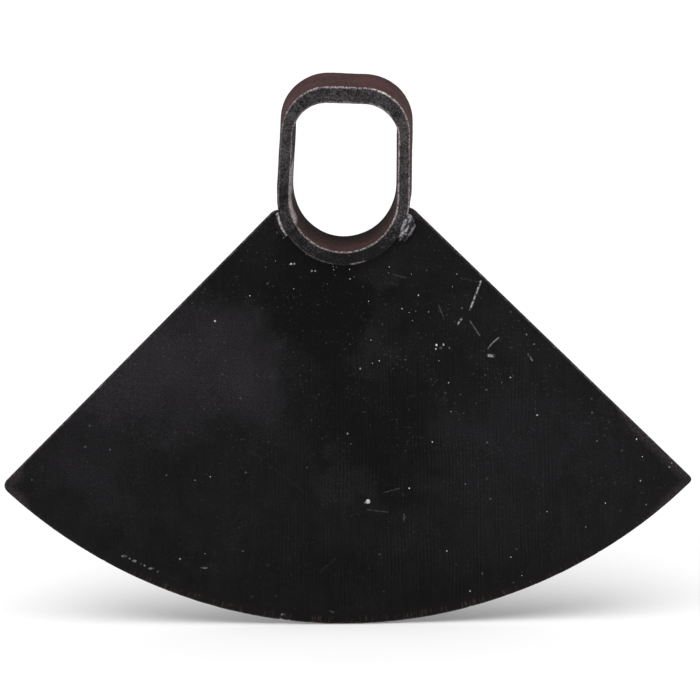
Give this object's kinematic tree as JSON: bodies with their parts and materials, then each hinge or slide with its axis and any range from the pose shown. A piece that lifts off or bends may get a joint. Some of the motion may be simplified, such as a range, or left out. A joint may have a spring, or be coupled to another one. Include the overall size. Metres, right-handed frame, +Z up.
{
  "type": "hoe head",
  "caption": "Fan-shaped steel hoe head: a quarter-disc blade with a ground curved edge, welded to an oval forged eye that takes a wooden handle.",
  "frame": {"origin": "centre of the eye, half-way through its width, height and depth", "axes": "+Y along the eye from the blade side to the rear, +X along the blade's width, +Z up from the cutting edge to the top of the eye"},
  "size_m": [0.2196, 0.03, 0.1742],
  "materials": {
    "blade_paint": "satin black paint, worn thin along the edges",
    "eye_paint": "thin black paint over rough forged steel, brown where it has rubbed",
    "weld_metal": "rippled weld bead under thin black paint"
  },
  "bodies": {
    "root": {"blade": "blade_paint", "eye_ring": "eye_paint", "weld_front_left": "weld_metal", "weld_front_right": "weld_metal", "weld_rear_left": "weld_metal", "weld_rear_right": "weld_metal"}
  },
  "joints": []
}
